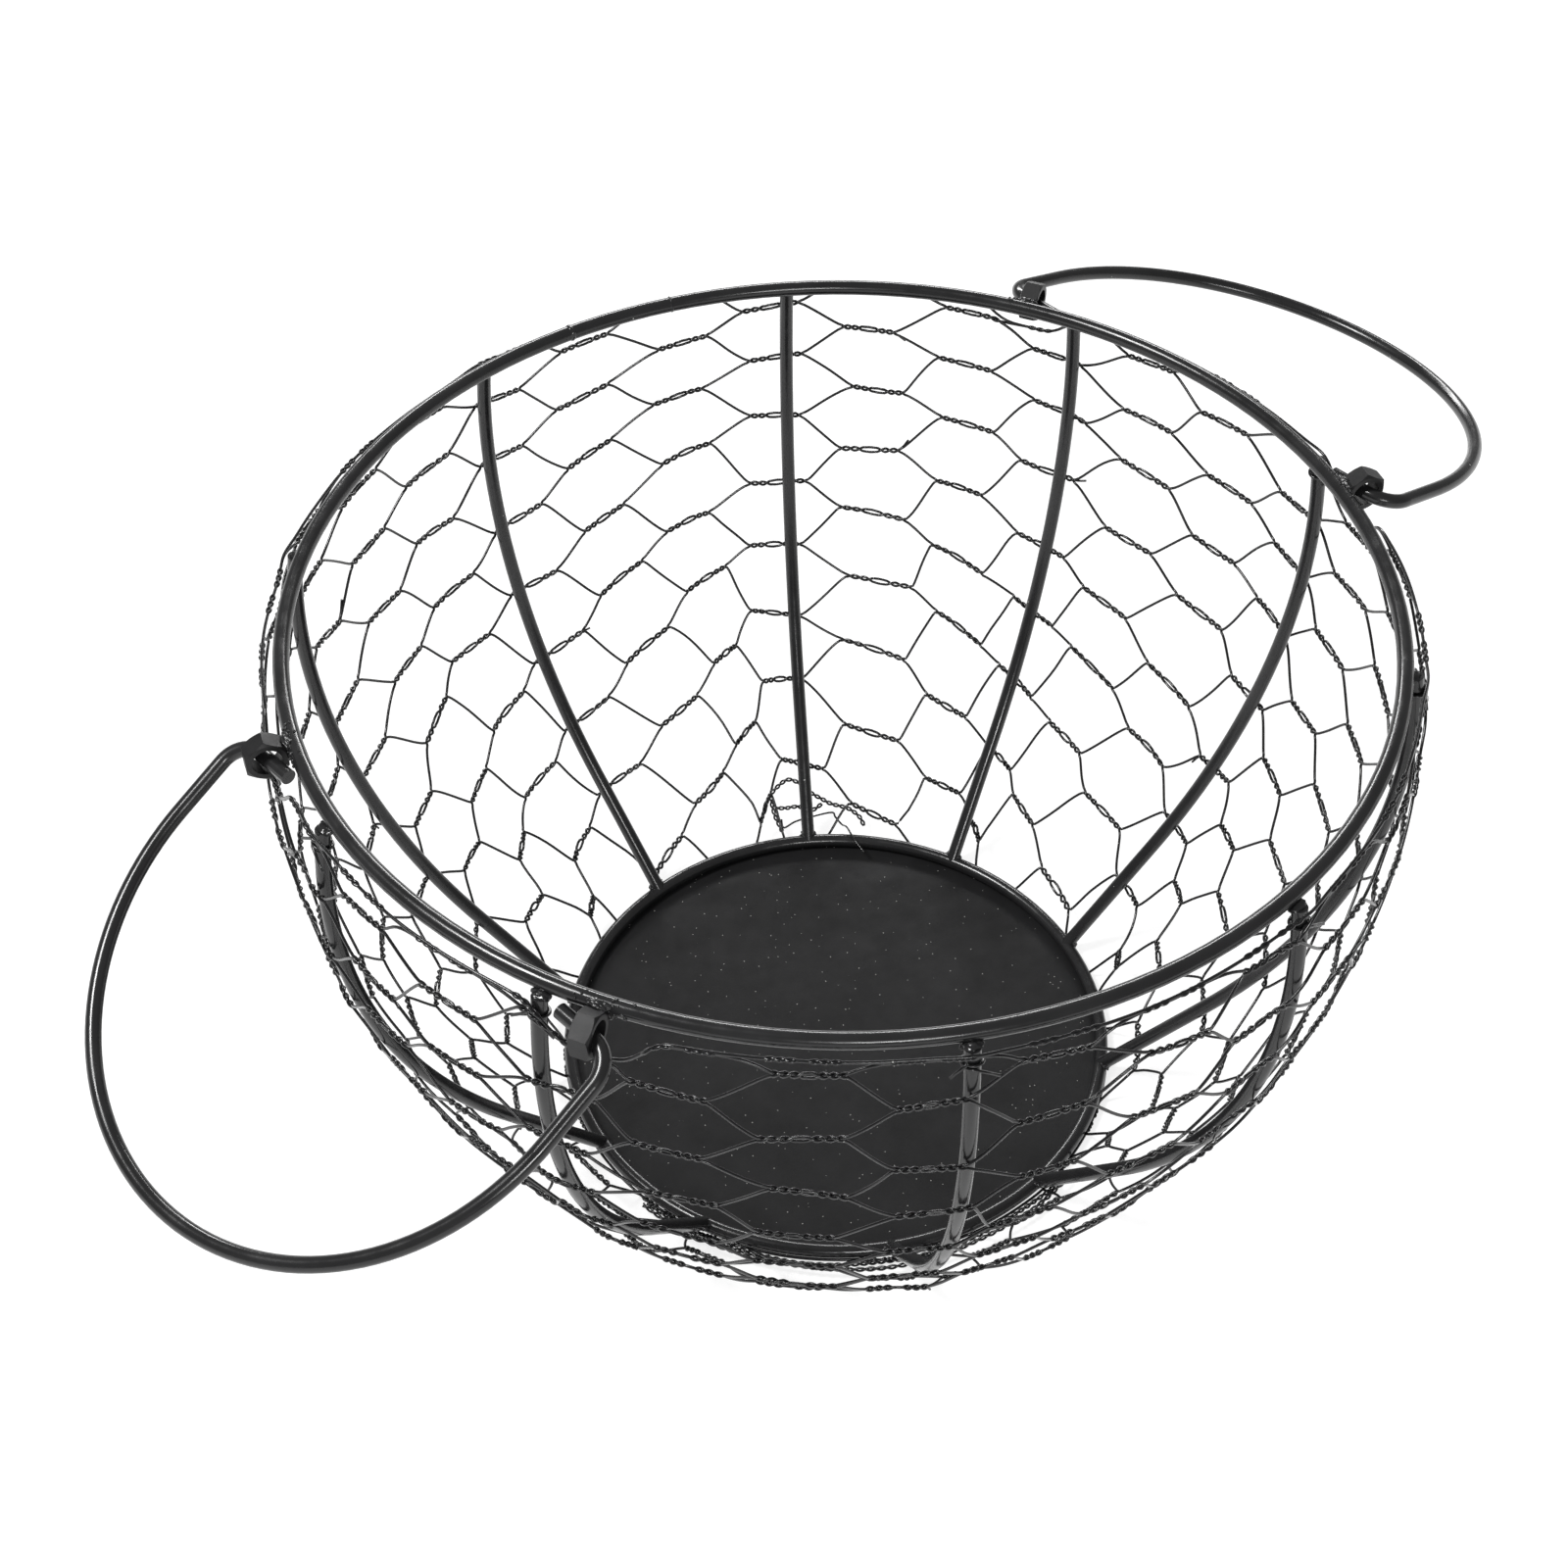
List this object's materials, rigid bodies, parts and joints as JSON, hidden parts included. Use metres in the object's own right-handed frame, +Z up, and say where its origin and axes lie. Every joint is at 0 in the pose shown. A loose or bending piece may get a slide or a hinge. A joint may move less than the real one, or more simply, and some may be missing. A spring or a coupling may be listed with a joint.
{
  "type": "egg collection basket",
  "caption": "Round wire basket with a flat bottom disc, curved ribs under a round rim, hexagonal netting sides, and a pair of swinging bail handles on hinge nuts.",
  "frame": {"origin": "centre of the bottom plate's underside, where the basket stands", "axes": "+Z up through the open top, +X from the middle towards the right bail handle"},
  "size_m": [0.4734, 0.319, 0.1852],
  "materials": {
    "frame_coat": "satin",
    "bail_coat": "satin",
    "plate_coat": "matte",
    "netting_coat": "satin"
  },
  "bodies": {
    "basket": {"rim_ring": "frame_coat", "base_ring": "frame_coat", "rib_01": "frame_coat", "rib_02": "frame_coat", "rib_03": "frame_coat", "rib_04": "frame_coat", "rib_05": "frame_coat", "rib_06": "frame_coat", "rib_07": "frame_coat", "rib_08": "frame_coat", "rib_09": "frame_coat", "rib_10": "frame_coat", "hinge_nut_right_rear": "frame_coat", "hinge_nut_right_front": "frame_coat", "hinge_nut_left_rear": "frame_coat", "hinge_nut_left_front": "frame_coat", "hinge_nut_welds": "frame_coat", "bottom_plate": "plate_coat", "netting": "netting_coat", "netting_top_selvedge": "netting_coat", "netting_foot_wire": "netting_coat", "rib_neck_ties": "netting_coat", "netting_end_knot": "netting_coat"},
    "right_bail": {"bail_right": "bail_coat"},
    "left_bail": {"bail_left": "bail_coat"}
  },
  "joints": [
    {"name": "right_bail_hinge", "type": "hinge", "parent": "basket", "child": "right_bail", "pos_m": [0.1445, 0, 0.1782], "axis": [0, -1, 0], "range_deg": [-68, 161]},
    {"name": "left_bail_hinge", "type": "hinge", "parent": "basket", "child": "left_bail", "pos_m": [-0.1445, 0, 0.1782], "axis": [0, 1, 0], "range_deg": [-56, 173]}
  ]
}
